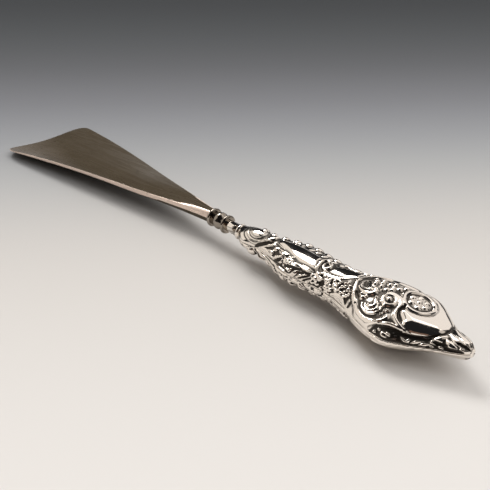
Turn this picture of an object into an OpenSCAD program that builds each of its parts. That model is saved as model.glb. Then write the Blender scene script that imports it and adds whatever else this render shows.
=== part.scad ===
// Shoehorn: a hollowed steel blade on a loaded handle of two die-stamped silver halves.
// X runs along the handle, with the blade at -X and the finial at +X. The part lies on the
// plane Z = 0 with its trough up, and the origin is under the middle of its length.

/* [Blade] */
// Length of the blade from the bolster to the middle of its rounded end
blade_len = 105; // [90:0.5:120]
// Width of the blade where its end begins to round
blade_w = 33.9; // [30:0.1:42]
// Length of the rounding at the end of the blade
tip_round = 12.7; // [8:0.1:16]
// Height by which the middle of the blade arches above a straight line from neck to end
blade_arch = 1.75; // [0:0.05:2.5]
// Thickness of the steel along the middle of the trough
trough_t = 0.9; // [0.8:0.05:1.5]
// Thickness of the steel at the rim of the trough
rim_t = 1.25; // [0.8:0.05:1.5]
// Thickness of the steel along the rounded end
edge_t = 0.5; // [0.4:0.05:0.8]
// Depth of the trough at the end of the blade
trough_depth = 2.3; // [1.8:0.1:4.5]
// Depth of the trough where it leaves the neck
root_depth = 1.4; // [1.2:0.1:3]
// Width of the forged neck at the bolster
neck_w = 3.4; // [3.2:0.1:5]
// Height of the forged neck at the bolster
neck_h = 4.5; // [4.2:0.1:5.6]
// Height of the bevels along the neck
neck_bevel = 0.95; // [0.4:0.05:1.1]
// Length over which the neck thins out into the trough
neck_run = 42; // [25:1:50]
// Length over which the thick side of the neck thins to the rim
side_run = 68; // [35:1:80]

/* [Tang] */
// Diameter of the round part of the tang, in the bolster and ferrule
tang_d = 2.7; // [2.3:0.1:2.9]
// Length of the square taper of the tang inside the handle
tang_taper_len = 46; // [30:1:55]
// Width of the square tang where it leaves the ferrule
tang_start_w = 1.8; // [1.4:0.1:1.9]
// Width of the square tang at its end
tang_end_w = 1.1; // [0.7:0.1:1.3]

/* [Bolster] */
// Length of the turned bolster
bolster_len = 8; // [7:0.1:10]
// Diameter of the two end rings
bolster_ring_d = 6.4; // [5.8:0.1:7.4]
// Width of each end ring
bolster_ring_w = 1.3; // [1:0.1:1.6]
// Diameter of the ball between the rings
bolster_ball_d = 5.9; // [5.2:0.1:6.8]
// Length of the ball between the rings
bolster_ball_len = 4; // [3:0.1:4.4]
// Diameter of the coves between ball and rings
bolster_cove_d = 4.6; // [4:0.1:5]

/* [Neck ferrule] */
// Length of the plain silver neck from the bolster to the bead
ferrule_len = 5.4; // [4:0.1:8]
// Diameter of the plain neck at the bolster
ferrule_d = 4; // [3.8:0.1:5]
// Diameter of the plain neck at the bead
ferrule_bead_end_d = 4.4; // [4:0.1:5.2]
// Diameter of the raised bead
bead_d = 5.4; // [5:0.1:6.4]
// Width of the raised bead
bead_w = 1.4; // [1:0.1:1.8]
// Length of the spigot that enters the shells
spigot_len = 5; // [3:0.1:6]
// Diameter of the spigot
spigot_d = 3.6; // [3.4:0.1:3.8]

/* [Handle lengths] */
// From the bead to the widest place of the collar
collar_rise = 4.5; // [3.5:0.1:6]
// From there to the throat behind the collar
collar_fall = 6.5; // [5:0.1:8]
// From the throat to the widest place of the panel
panel_rise = 17; // [14:0.5:20]
// From there to the waist
panel_fall = 15; // [12:0.5:18]
// From the waist to the widest place of the bulb
bulb_rise = 26; // [22:0.5:30]
// From the waist to the thickest place of the bulb
crown_rise = 18; // [15:0.5:21]
// From the widest place of the bulb to the finial
bulb_fall = 14; // [12:0.5:17]
// Length of the finial
finial_len = 8.9; // [8:0.1:10]
// Length of the blunt nose at the end of the finial
nose_len = 1.6; // [1.2:0.1:2.2]
// Height by which the tip of the finial turns up
finial_lift = 1.2; // [0:0.1:3]

/* [Handle widths] */
// Width of the collar
collar_w = 9.2; // [8:0.1:10.5]
// Width of the throat
throat_w = 7.4; // [6.8:0.1:8.4]
// Width of the panel
panel_w = 15.4; // [13:0.1:18]
// Width of the waist
waist_w = 13.2; // [11:0.1:15]
// Width of the bulb
bulb_w = 25.4; // [22:0.1:29]
// Width of the handle where the finial begins
finial_w = 12; // [9:0.1:13]
// Width of the finial where the nose begins
nose_w = 4.8; // [4:0.1:6]
// Width of the blunt tip
tip_w = 2; // [1.4:0.1:2.4]

/* [Handle thicknesses] */
// Thickness of the collar
collar_t = 6.8; // [6.2:0.1:7.6]
// Thickness of the throat
throat_t = 7.4; // [6.8:0.1:8.2]
// Thickness of the panel
panel_t = 10.4; // [9:0.1:12]
// Thickness of the waist
waist_t = 10.8; // [9:0.1:12.5]
// Thickness of the bulb at its crown
bulb_t = 15; // [13:0.1:17]
// Thickness of the handle where the finial begins
finial_t = 5.6; // [5:0.1:7]
// Thickness of the finial where the nose begins
nose_t = 4.6; // [3.6:0.1:5]
// Thickness of the blunt tip
tip_t = 1.8; // [1.4:0.1:2.2]

/* [Shells] */
// Thickness of the stamped silver at its base
shell_wall = 0.55; // [0.45:0.05:0.8]
// Height of the boldest relief
bold_relief = 0.85; // [0.5:0.05:1]
// Height of the lower relief
low_relief = 0.5; // [0.3:0.05:0.7]
// Angle of the plain land along each side seam
seam_land = 9; // [6:1:14]

/* [Fits] */
// Gap between the round tang and its bores
tang_clearance = 0.05; // [0.03:0.01:0.1]
// Gap between the spigot and the shells
spigot_clearance = 0.06; // [0.05:0.01:0.1]
// Gap between the shells and the pitch core
core_clearance = 0.08; // [0.05:0.01:0.15]
// Gap between the end of the spigot and the pitch core, at least
core_start_gap = 0.3; // [0.2:0.05:0.5]

/* [Hidden] */

// Grid counts: along and across the blade, along and across a shell's face and its smooth inside
blade_rows = 34;
blade_cols = 21;
face_rows = 90;
face_cols = 26;
inside_rows = 30;
inside_cols = 9;
round_fn = 96;

// Stations along the handle, counted from the mouth of the shells
st_collar = collar_rise;
st_throat = st_collar + collar_fall;
st_panel = st_throat + panel_rise;
st_waist = st_panel + panel_fall;
st_crown = st_waist + crown_rise;
st_bulb = st_waist + bulb_rise;
st_finial = st_bulb + bulb_fall;
st_tip = st_finial + finial_len;
st_nose = st_tip - nose_len;

// The shells' mouth closes round the ferrule's spigot, behind the bead
mouth_x = ferrule_len + bead_w;
mouth_d = spigot_d + 2 * (spigot_clearance + shell_wall);
bore_d = tang_d + 2 * tang_clearance;
// Length by which a bore is cut past each end of its piece
bore_over = 1;
handle_len = mouth_x + st_tip;
// Thickness of metal left at the blunt tip, where the two insides end short of it
tip_metal = 2.2;
st_inside_end = st_tip - tip_metal;

function mix(a, b, t) = a + (b - a) * t;
function ease(x, x0, x1) = let (t = min(1, max(0, (x - x0) / (x1 - x0)))) t * t * (3 - 2 * t);

// Smooth curve through knots [station, value] that never overshoots a knot
function secant(k, i) = (k[i + 1][1] - k[i][1]) / (k[i + 1][0] - k[i][0]);
function knot_slope(k, i) =
    i == 0 ? secant(k, 0)
    : i == len(k) - 1 ? secant(k, i - 1)
    : let (d0 = secant(k, i - 1), d1 = secant(k, i)) d0 * d1 <= 0 ? 0 : 2 * d0 * d1 / (d0 + d1);
function span(k, x, i = 0) = i >= len(k) - 2 || x <= k[i + 1][0] ? i : span(k, x, i + 1);
function curve(k, x) =
    let (i = span(k, x), run = k[i + 1][0] - k[i][0], t = (x - k[i][0]) / run)
    let (rise = t * t * (3 - 2 * t), lead = t * (1 - t) * (1 - t), trail = t * t * (t - 1))
    mix(k[i][1], k[i + 1][1], rise) + run * (lead * knot_slope(k, i) + trail * knot_slope(k, i + 1));

width_knots = [[0, mouth_d], [st_collar, collar_w], [st_throat, throat_w], [st_panel, panel_w],
    [st_waist, waist_w], [st_bulb, bulb_w], [st_finial, finial_w], [st_nose, nose_w], [st_tip, tip_w]];
thickness_knots = [[0, mouth_d], [st_collar, collar_t], [st_throat, throat_t], [st_panel, panel_t],
    [st_waist, waist_t], [st_crown, bulb_t], [st_finial, finial_t], [st_nose, nose_t], [st_tip, tip_t]];

function half_w(h) = curve(width_knots, h) / 2;
function half_t(h) = curve(thickness_knots, h) / 2;
function lift(h) = finial_lift * pow(max(0, h - st_bulb) / (st_tip - st_bulb), 2);

// Relief of a stamped half, over station h and angle t: 0 and 180 are the seams, 90 is the crest.
// Motifs are drawn in millimetres about their own centre on the surface.
function arc_mm(h) = PI / 180 * (half_w(h) + half_t(h)) / 2;
function about(h, t, c) = [h - c[0], (t - c[1]) * arc_mm(c[0])];
function oval(p, r) = pow(p.x / r.x, 2) + pow(p.y / r.y, 2);
function dome(p, r, high) = let (q = oval(p, r)) q < 1 ? high * sqrt(1 - q) : 0;
function cushion(p, r, high) = let (q = oval(p, r)) q < 1 ? high * sqrt(1 - q * q) : 0;
function ridge(d, half, high) = abs(d) < half ? high * (1 - pow(d / half, 2)) : 0;
function hoop(p, r, half, high) = ridge((sqrt(oval(p, r)) - 1) * min(r.x, r.y), half, high);
function turned_by(p, start) = let (a = atan2(p.y, p.x) - start) a - 360 * floor(a / 360);
volute_taper = 0.6;
function volute(p, r, start, turns, half, high) =
    max([for (k = [0:ceil(turns)])
        let (f = (turned_by(p, start) + 360 * k) / (360 * turns))
        f > 1 ? 0 : ridge(norm(p) - mix(r[0], r[1], f), half * mix(volute_taper, 1, f), high)]);

// Collar: plain oval boss in two nested scroll frames, closed by a pointed arch towards the panel
boss_c = [st_collar + 4.2, 80];
boss_r = [3.4, 2.5];
frame_r = [4.6, 3.9];
frame_half = 0.8;
outer_frame_r = [6.2, 5.6];
outer_frame_end = boss_c.x + 2;
arch_foot = st_throat + 1.2;
arch_rise = 6;
arch_half = 1.3;
function collar_relief(h, t) =
    let (p = about(h, t, boss_c))
    max(dome(p, boss_r, bold_relief),
        hoop(p, frame_r, frame_half, low_relief),
        h < outer_frame_end ? hoop(p, outer_frame_r, frame_half, low_relief) : 0,
        ridge(h - arch_foot - arch_rise * sin(t), arch_half, bold_relief));

// Panel: a plain pointed reserve with a raised border, flower bosses on both flanks
reserve_start = st_throat + 7.5;
reserve_end = st_waist - 5.5;
reserve_half_angle = 36;
reserve_fullness = 0.7;
border_half = 0.9;
flower_r = [2.4, 2.4];
flower_angle = 33;
flower_pitch = 6.2;
flower_count = 6;
first_flower = st_throat + 10.5;
function reserve_edge(h) =
    let (f = (h - reserve_start) / (reserve_end - reserve_start))
    f <= 0 || f >= 1 ? -1 : reserve_half_angle * pow(sin(180 * f), reserve_fullness);
function panel_relief(h, t) =
    let (edge = reserve_edge(h), off = (abs(t - 90) - edge) * arc_mm(h), near = min(t, 180 - t))
    max(edge < 0 ? 0 : ridge(off, border_half, low_relief),
        max([for (i = [0:flower_count - 1])
            dome(about(h, near, [first_flower + i * flower_pitch, flower_angle]), flower_r, bold_relief)]));

// Waist: a volute curls at the end of the reserve and opens into a plain flute with raised edges
curl_c = [st_waist - 2.5, 80];
curl_r = [0.4, 2.8];
curl_start = -40;
curl_turns = 1.3;
curl_half = 0.9;
flute_len = 11;
flute_half_angle = [22, 30];
flute_edge_half = 1;
function waist_relief(h, t) =
    let (f = (h - st_waist) / flute_len, side = mix(flute_half_angle[0], flute_half_angle[1], f))
    let (off = (abs(t - 90) - side) * arc_mm(h))
    max(volute(about(h, t, curl_c), curl_r, curl_start, curl_turns, curl_half, bold_relief),
        f < 0 || f > 1 ? 0 : ridge(off, flute_edge_half, low_relief));

// Bulb: a bold C-scroll, comma leaves, a bead in a ring, a smooth comma boss and an oval rosette
scroll_c = [st_bulb - 7, 56];
scroll_r = [8.6, 8.4];
scroll_start = 60;
scroll_sweep = 250;
scroll_half = 1.3;
far_scroll_c = [st_bulb - 6, 134];
far_scroll_r = [6.5, 5];
far_scroll_half = 1.1;
// Station, angle and radius of each leaf
leaf_spots = [[st_bulb - 10.4, 73, 2.1], [st_bulb - 8.2, 42, 2.5],
    [st_bulb - 11.5, 58, 1.5], [st_bulb - 6, 58, 1.6]];
bead_c = [st_bulb - 2.8, 71];
bead_r = [1.2, 1.2];
bead_frame_r = [2.9, 2.9];
bead_frame_half = 0.9;
comma_c = [st_bulb + 7.6, 88];
comma_r = [6.6, 7.4];
rosette_c = [st_bulb + 1.9, 99];
rosette_r = [5.2, 4.6];
rosette_half = 1;
rosette_heart_r = [3.4, 2.8];
function bulb_relief(h, t) =
    let (ps = about(h, t, scroll_c), pv = about(h, t, bead_c), pr = about(h, t, rosette_c))
    max(turned_by(ps, scroll_start) < scroll_sweep ? hoop(ps, scroll_r, scroll_half, bold_relief) : 0,
        hoop(about(h, t, far_scroll_c), far_scroll_r, far_scroll_half, low_relief),
        max([for (s = leaf_spots) dome(about(h, t, s), [s[2], s[2]], bold_relief)]),
        dome(pv, bead_r, bold_relief),
        hoop(pv, bead_frame_r, bead_frame_half, low_relief),
        cushion(about(h, t, comma_c), comma_r, bold_relief),
        hoop(pr, rosette_r, rosette_half, bold_relief),
        dome(pr, rosette_heart_r, bold_relief));

// Finial: a fan of lobes gathered at the tip
lobe_count = 5;
lobe_rise = [st_finial - 1, st_finial + 1.5];
lobe_fade = 3;
function finial_relief(h, t) =
    low_relief * ease(h, lobe_rise[0], lobe_rise[1]) * ease(st_tip - h, 0, lobe_fade)
    * pow(cos((t - 90) * lobe_count), 2);

// The relief dies out at the seams, between two shares of the plain land, and at the mouth
seam_fade = [0.6, 1.8];
mouth_fade = 2;
function relief(h, t) =
    ease(min(t, 180 - t), seam_land * seam_fade[0], seam_land * seam_fade[1]) * ease(h, 0, mouth_fade)
    * max(collar_relief(h, t), panel_relief(h, t), waist_relief(h, t),
        bulb_relief(h, t), finial_relief(h, t));

// Point of a half at station h and angle t, set in by a wall and raised by a relief.
// Side is 1 for the front half and -1 for the back half.
function half_point(h, t, side, inset, raise) =
    let (a = half_w(h) - inset, b = half_t(h) - inset)
    let (n = [-cos(t) / a, sin(t) / b], out = raise / norm(n))
    [mouth_x + h, side * (-a * cos(t) + out * n.x), lift(h) + side * (b * sin(t) + out * n.y)];

function face_points(side) =
    [for (i = [0:face_rows - 1]) for (j = [0:face_cols - 1])
        let (h = st_tip * i / (face_rows - 1), t = 180 * j / (face_cols - 1))
        half_point(h, t, side, 0, relief(h, t))];
function inside_points(side, inset) =
    [for (i = [0:inside_rows - 1]) for (j = [0:inside_cols - 1])
        half_point(st_inside_end * i / (inside_rows - 1), 180 * j / (inside_cols - 1), side, inset, 0)];

// Triangles of a grid of points, of a fan over a convex row, and between a fine and a coarse row
function grid(rows, cols, first) =
    [for (i = [0:rows - 2]) for (j = [0:cols - 2])
        let (a = first + i * cols + j, b = a + cols)
        each [[a, a + 1, b + 1], [a, b + 1, b]]];
function fan(row) = [for (i = [1:len(row) - 2]) [row[0], row[i], row[i + 1]]];
function zip(fine, coarse) =
    let (m = len(fine), n = len(coarse))
    let (at = [for (i = [0:m - 2]) min(n - 1, floor((i + 0.5) * n / (m - 1)))])
    concat([for (i = [0:m - 2]) [fine[i], fine[i + 1], coarse[at[i]]]],
        [for (k = [0:n - 2])
            let (i = min([for (j = [0:m - 2]) if (at[j] > k) j]))
            [coarse[k], fine[i], coarse[k + 1]]]);
function flipped(faces) = [for (f = faces) [f[0], f[2], f[1]]];

function row(first, cols, i) = [for (j = [0:cols - 1]) first + i * cols + j];
function column(first, rows, cols, j) = [for (i = [0:rows - 1]) first + i * cols + j];

function shell_faces() =
    let (in0 = face_rows * face_cols, in_end = in0 + (inside_rows - 1) * inside_cols)
    concat(grid(face_rows, face_cols, 0),
        flipped(grid(inside_rows, inside_cols, in0)),
        flipped(zip(row(0, face_cols, 0), row(in0, inside_cols, 0))),
        fan(row(0, face_cols, face_rows - 1)),
        flipped(fan(row(in0, inside_cols, inside_rows - 1))),
        fan([in0 - face_cols, in0 - 1, in_end + inside_cols - 1, in_end]),
        zip(column(0, face_rows, face_cols, 0), column(in0, inside_rows, inside_cols, 0)),
        flipped(zip(column(0, face_rows, face_cols, face_cols - 1),
            column(in0, inside_rows, inside_cols, inside_cols - 1))));

// Lowest point of the back shell's relief, which rests on the plane
axis_h = -min([for (p = face_points(-1)) p.z]);
x_shift = (blade_len + bolster_len - handle_len) / 2;

module in_place() {
    translate([x_shift, 0, axis_h])
        children();
}

module half_shell(side) {
    polyhedron(concat(face_points(side), inside_points(side, shell_wall)), shell_faces());
}

// Blade sections at distance s from the bolster and share v of the half width. The section is
// nearly square at the neck and a parabola in the trough, and the outline of the end a squared oval.
neck_power = 5;
trough_power = 2;
tip_power = 4;
function blade_half_w(s) = mix(neck_w / 2, blade_w / 2, s / (blade_len - tip_round));
function thinned(t, s) = mix(t, edge_t, ease(s, side_run, blade_len));
function middle_t(s) = thinned(mix(neck_h, trough_t, ease(s, 0, neck_run)), s);
function side_t(s) = thinned(mix(neck_h - 2 * neck_bevel, rim_t, ease(s, 0, side_run)), s);
function hollow(s) =
    mix(-neck_bevel, root_depth, ease(s, 0, neck_run)) + (trough_depth - root_depth) * s / blade_len;
function under(s) =
    let (f = s / blade_len)
    mix(-neck_h / 2, -axis_h, f) + blade_arch * 4 * f * (1 - f);
function section_power(s) = mix(neck_power, trough_power, ease(s, 0, neck_run));
function blade_end(v) =
    blade_len - tip_round * (1 - pow(1 - pow(abs(v), tip_power), 1 / tip_power));
function blade_point(u, v, top) =
    let (s = u * blade_end(v), bow = pow(abs(v), section_power(s)))
    let (low = hollow(s) + middle_t(s) - side_t(s))
    [-bolster_len - s, blade_half_w(s) * v, under(s) + (top ? middle_t(s) + hollow(s) * bow : low * bow)];
function blade_points(top) =
    [for (i = [0:blade_rows - 1]) for (j = [0:blade_cols - 1])
        blade_point(i / (blade_rows - 1), -cos(180 * j / (blade_cols - 1)), top)];
function strip(p, q) =
    [for (i = [0:len(p) - 2]) each [[p[i], p[i + 1], q[i + 1]], [p[i], q[i + 1], q[i]]]];
function blade_faces() =
    let (low = blade_rows * blade_cols, last = blade_cols - 1)
    concat(flipped(grid(blade_rows, blade_cols, 0)),
        grid(blade_rows, blade_cols, low),
        strip(row(0, blade_cols, 0), row(low, blade_cols, 0)),
        flipped(strip(row(0, blade_cols, blade_rows - 1), row(low, blade_cols, blade_rows - 1))),
        flipped(strip(column(0, blade_rows, blade_cols, 0), column(low, blade_rows, blade_cols, 0))),
        strip(column(0, blade_rows, blade_cols, last), column(low, blade_rows, blade_cols, last)));

// Round tang through bolster and ferrule, then a square taper. A gap all round makes its socket.
// The root is the length of the round tang that runs into the neck of the blade.
tang_root = 4;
taper_x = mouth_x + spigot_len;
module tang(gap) {
    rotate([0, 90, 0]) {
        translate([0, 0, -bolster_len - tang_root])
            cylinder(d = tang_d + 2 * gap, h = bolster_len + tang_root + taper_x, $fn = round_fn);
        translate([0, 0, taper_x])
            rotate([0, 0, 45])
                cylinder(d1 = (tang_start_w + 2 * gap) * sqrt(2), d2 = (tang_end_w + 2 * gap) * sqrt(2),
                    h = tang_taper_len + gap, $fn = 4);
    }
}

module horn_blade() {
    color("#5a5046")
        in_place()
            union() {
                polyhedron(concat(blade_points(true), blade_points(false)), blade_faces());
                tang(0);
            }
}

module turned() {
    rotate([0, 90, 0])
        rotate_extrude($fn = round_fn)
            children();
}

module half_round_ring(d, w) {
    square([(d - w) / 2, w]);
    intersection() {
        translate([(d - w) / 2, w / 2])
            circle(d = w, $fn = round_fn);
        square([d / 2, w]);
    }
}

module bolster() {
    ball_r = bolster_ball_len / 2;
    color("#6e665a")
        in_place()
            difference() {
                union() {
                    translate([-bolster_len, 0, 0])
                        turned()
                            half_round_ring(bolster_ring_d, bolster_ring_w);
                    translate([-bolster_ring_w, 0, 0])
                        turned()
                            half_round_ring(bolster_ring_d, bolster_ring_w);
                    translate([-bolster_len / 2 - ball_r, 0, 0])
                        turned()
                            half_round_ring(bolster_ball_d, bolster_ball_len);
                    translate([-bolster_len, 0, 0])
                        rotate([0, 90, 0])
                            cylinder(d = bolster_cove_d, h = bolster_len, $fn = round_fn);
                }
                translate([-bolster_len - bore_over, 0, 0])
                    rotate([0, 90, 0])
                        cylinder(d = bore_d, h = bolster_len + 2 * bore_over, $fn = round_fn);
            }
}

module neck_ferrule() {
    color("#d8d4cc")
        in_place()
            difference() {
                union() {
                    rotate([0, 90, 0])
                        cylinder(d1 = ferrule_d, d2 = ferrule_bead_end_d, h = ferrule_len, $fn = round_fn);
                    translate([ferrule_len, 0, 0])
                        turned()
                            half_round_ring(bead_d, bead_w);
                    translate([ferrule_len, 0, 0])
                        rotate([0, 90, 0])
                            cylinder(d = spigot_d, h = bead_w + spigot_len, $fn = round_fn);
                }
                translate([-bore_over, 0, 0])
                    rotate([0, 90, 0])
                        cylinder(d = bore_d, h = taper_x + 2 * bore_over, $fn = round_fn);
            }
}

module front_shell() {
    color("#dcd8d0")
        in_place()
            half_shell(1);
}

module back_shell() {
    color("#d2cec6")
        in_place()
            half_shell(-1);
}

// Filling that loads the handle: it follows the insides of both shells from the spigot to the tip
inside_pitch = st_inside_end / (inside_rows - 1);
core_first = ceil((spigot_len + core_start_gap) / inside_pitch);
core_rows = inside_rows - core_first;
core_cols = 2 * (inside_cols - 1);
function core_points() =
    [for (i = [core_first:inside_rows - 1]) for (side = [1, -1]) for (j = [0:inside_cols - 2])
        half_point(i * inside_pitch, 180 * j / (inside_cols - 1), side, shell_wall + core_clearance, 0)];
function core_faces() =
    concat([for (i = [0:core_rows - 2]) for (j = [0:core_cols - 1])
            let (k = (j + 1) % core_cols, a = i * core_cols)
            each [[a + j, a + k, a + core_cols + k], [a + j, a + core_cols + k, a + core_cols + j]]],
        fan(row(0, core_cols, 0)),
        flipped(fan(row(0, core_cols, core_rows - 1))));

module pitch_core() {
    color("#4a3524")
        in_place()
            difference() {
                polyhedron(core_points(), core_faces());
                tang(tang_clearance);
            }
}

horn_blade();
bolster();
neck_ferrule();
front_shell();
back_shell();
pitch_core();
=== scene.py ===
import math

import bpy
import numpy as np
from mathutils import Matrix, Vector


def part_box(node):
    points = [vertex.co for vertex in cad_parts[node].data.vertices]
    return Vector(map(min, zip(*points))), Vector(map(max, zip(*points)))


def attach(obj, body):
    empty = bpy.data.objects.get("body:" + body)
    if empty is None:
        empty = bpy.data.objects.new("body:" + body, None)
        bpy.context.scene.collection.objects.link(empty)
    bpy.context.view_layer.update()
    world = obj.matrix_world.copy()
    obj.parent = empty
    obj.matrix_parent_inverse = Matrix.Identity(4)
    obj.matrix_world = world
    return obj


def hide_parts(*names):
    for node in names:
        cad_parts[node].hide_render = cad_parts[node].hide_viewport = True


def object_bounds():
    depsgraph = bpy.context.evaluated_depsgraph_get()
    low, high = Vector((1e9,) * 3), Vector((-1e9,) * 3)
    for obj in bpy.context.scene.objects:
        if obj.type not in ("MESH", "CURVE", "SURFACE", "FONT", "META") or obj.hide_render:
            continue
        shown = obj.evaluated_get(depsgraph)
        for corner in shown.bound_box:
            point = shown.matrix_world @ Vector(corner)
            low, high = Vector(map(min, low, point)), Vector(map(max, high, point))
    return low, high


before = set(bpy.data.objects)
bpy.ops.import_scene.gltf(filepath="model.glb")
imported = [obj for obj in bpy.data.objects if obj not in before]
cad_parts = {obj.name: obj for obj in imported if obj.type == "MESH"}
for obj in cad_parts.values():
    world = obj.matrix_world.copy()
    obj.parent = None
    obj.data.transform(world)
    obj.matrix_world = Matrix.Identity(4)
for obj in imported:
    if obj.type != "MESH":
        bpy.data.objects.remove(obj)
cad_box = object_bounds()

# Blade: one steel forging, a square neck that is hammered out into a wide, shallow trough.
# It is ground and polished, with its edges broken by hand, and goes on as a tang through the
# bolster and the ferrule into the filling of the handle.
MM = 0.001  # sizes in this file are millimetres, and Blender's are metres
BLADE_W = 33.9
TIP_ROUND, TIP_POWER = 12.7, 4
BLADE_ARCH = 1.75
TROUGH_T, RIM_T, END_T = 0.9, 1.25, 0.5
TROUGH_DEPTH, ROOT_DEPTH = 2.3, 1.4
NECK_W, NECK_H, NECK_BEVEL = 3.4, 4.5, 0.95
NECK_RUN, SIDE_RUN = 42, 68
NECK_POWER, TROUGH_POWER = 5, 2
EDGE_ROUND, UNDER_ROUND = 0.22, 0.4
EDGE_STEPS = EDGE_ROUND * np.array([0, 0.06, 0.17, 0.33, 0.55, 0.8, 1.05, 1.5, 2.2])
INNER_ROWS_FROM, BLADE_ROW_PITCH = 3 * EDGE_ROUND, 1.0
BLADE_COLS = 52
RIM_CROWDING, RIM_GAP = 0.94, 0.01


def box_mm(node):
    low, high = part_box(node)
    return np.array(low) / MM, np.array(high) / MM


bolster_low, bolster_high = box_mm("bolster")
ferrule_low, ferrule_high = box_mm("neck_ferrule")
axis_z = (bolster_low[2] + bolster_high[2]) / 2
neck_x = bolster_low[0]
blade_len = neck_x - box_mm("horn_blade")[0][0]


def mix(a, b, t):
    return a + (b - a) * t


def ease(x, x0, x1):
    """Smooth step from 0 at x0 to 1 at x1."""
    t = np.clip((x - x0) / (x1 - x0), 0, 1)
    return t * t * (3 - 2 * t)


def grid_faces(rows, cols, first=0):
    i, j = np.meshgrid(np.arange(rows - 1), np.arange(cols - 1), indexing="ij")
    a = (first + i * cols + j).ravel()
    return np.stack([a, a + cols, a + cols + 1, a + 1], 1).tolist()


def strip_faces(one, other):
    return [[one[k], one[k + 1], other[k + 1], other[k]] for k in range(len(one) - 1)]


def add_piece(name, points, faces, sharp_above):
    mesh = bpy.data.meshes.new(name)
    mesh.from_pydata((np.asarray(points) * MM).tolist(), [], faces)
    mesh.shade_smooth()
    mesh.set_sharp_from_angle(angle=math.radians(sharp_above))
    piece = bpy.data.objects.new(name, mesh)
    bpy.context.scene.collection.objects.link(piece)
    return piece


def blade_half_w(s):
    """Half the width at a distance from the neck; it is BLADE_W / 2 where the end begins to round."""
    return mix(NECK_W / 2, BLADE_W / 2, s / (blade_len - TIP_ROUND))


def blade_end(v):
    """The blade's length at a share of its half width, shorter towards the rims."""
    return blade_len - TIP_ROUND * (1 - (1 - np.abs(v) ** TIP_POWER) ** (1 / TIP_POWER))


def blade_face(u, v, top):
    """Points of the upper or the under face, u from neck to end and v from rim to rim."""
    end = blade_end(v)
    s = u * end
    f = s / blade_len
    thinning = ease(s, SIDE_RUN, blade_len)
    middle_t = mix(mix(NECK_H, TROUGH_T, ease(s, 0, NECK_RUN)), END_T, thinning)
    side_t = mix(mix(NECK_H - 2 * NECK_BEVEL, RIM_T, ease(s, 0, SIDE_RUN)), END_T, thinning)
    hollow = mix(-NECK_BEVEL, ROOT_DEPTH, ease(s, 0, NECK_RUN)) + (TROUGH_DEPTH - ROOT_DEPTH) * f
    under = mix(-NECK_H / 2, -axis_z, f) + BLADE_ARCH * 4 * f * (1 - f)
    bow = np.abs(v) ** mix(NECK_POWER, TROUGH_POWER, ease(s, 0, NECK_RUN))
    from_edge = np.minimum((1 - np.abs(v)) * blade_half_w(s), (1 - u) * end)
    radius = EDGE_ROUND if top else UNDER_ROUND * side_t
    bite = np.clip(radius - from_edge, 0, radius)
    worn = radius - np.sqrt(radius ** 2 - bite ** 2)
    if top:
        z = under + middle_t + hollow * bow - worn
    else:
        z = under + (hollow + middle_t - side_t) * bow + worn
    y = np.clip(blade_half_w(s) * v, cad_box[0][1] / MM, cad_box[1][1] / MM)
    return np.stack([neck_x - s, y, axis_z + z], -1)


inner_rows = np.arange(INNER_ROWS_FROM, blade_len, BLADE_ROW_PITCH)
from_end = np.concatenate([EDGE_STEPS, inner_rows, [blade_len]])
rows_u = 1 - from_end[::-1] / blade_len
half_spread = 0.5 * math.pi * RIM_CROWDING
inner_v = np.sin(np.linspace(-half_spread, half_spread, BLADE_COLS)) / math.sin(half_spread)
rim_v = 1 - EDGE_STEPS / (BLADE_W / 2)
cols_v = np.concatenate([-rim_v, inner_v * (rim_v[-1] - RIM_GAP), rim_v[::-1]])
u, v = np.meshgrid(rows_u, cols_v, indexing="ij")
rows, cols = u.shape
blade_points = np.concatenate([blade_face(u, v, top).reshape(-1, 3) for top in (True, False)])
under_first = rows * cols
rim = [i * cols for i in range(rows)] + [(rows - 1) * cols + j for j in range(1, cols)]
rim += [i * cols + cols - 1 for i in range(rows - 2, -1, -1)] + list(range(cols - 2, -1, -1))
blade_faces = [f[::-1] for f in grid_faces(rows, cols)] + grid_faces(rows, cols, under_first)
wall_start = len(blade_faces)
blade_faces += strip_faces(rim, [under_first + k for k in rim])
wall_end = len(blade_faces)


def turned(profile, segments, first=0):
    """Points and faces of a closed profile of (x, radius) turned about the handle's axis."""
    profile = np.asarray(profile, float)
    a = np.linspace(0, 2 * np.pi, segments, endpoint=False)
    x = np.repeat(profile[:, :1], segments, 1)
    points = np.stack([x, profile[:, 1:] * np.cos(a), axis_z + profile[:, 1:] * np.sin(a)], -1)
    n = len(profile)
    faces = []
    for i in range(n):
        for j in range(segments):
            k, m = (i + 1) % n, (j + 1) % segments
            faces.append([first + i * segments + j, first + i * segments + m,
                          first + k * segments + m, first + k * segments + j])
    return points.reshape(-1, 3), faces


# The tang, round as far as the ferrule's end and then a square taper
TANG_D, TANG_START_W, TANG_END_W, TANG_TAPER = 2.7, 1.8, 1.1, 46
TANG_ROOT = 4
TANG_SIDES, TAPER_SIDES = 32, 4
CENTRE_R = 0.001
SHARP_EDGE = 50
tang_x = neck_x - TANG_ROOT
taper_x = ferrule_high[0]
taper_end = taper_x + TANG_TAPER
tang_profile = [(tang_x, CENTRE_R), (tang_x, TANG_D / 2), (taper_x, TANG_D / 2), (taper_x, CENTRE_R)]
taper_profile = [(taper_x, CENTRE_R), (taper_x, TANG_START_W / math.sqrt(2)),
                 (taper_end, TANG_END_W / math.sqrt(2)), (taper_end, CENTRE_R)]
for profile, sides in ((tang_profile, TANG_SIDES), (taper_profile, TAPER_SIDES)):
    more_points, more_faces = turned(profile, sides, len(blade_points))
    blade_points = np.concatenate([blade_points, more_points])
    blade_faces += more_faces
blade = add_piece("blade", blade_points, blade_faces, SHARP_EDGE)

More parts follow.
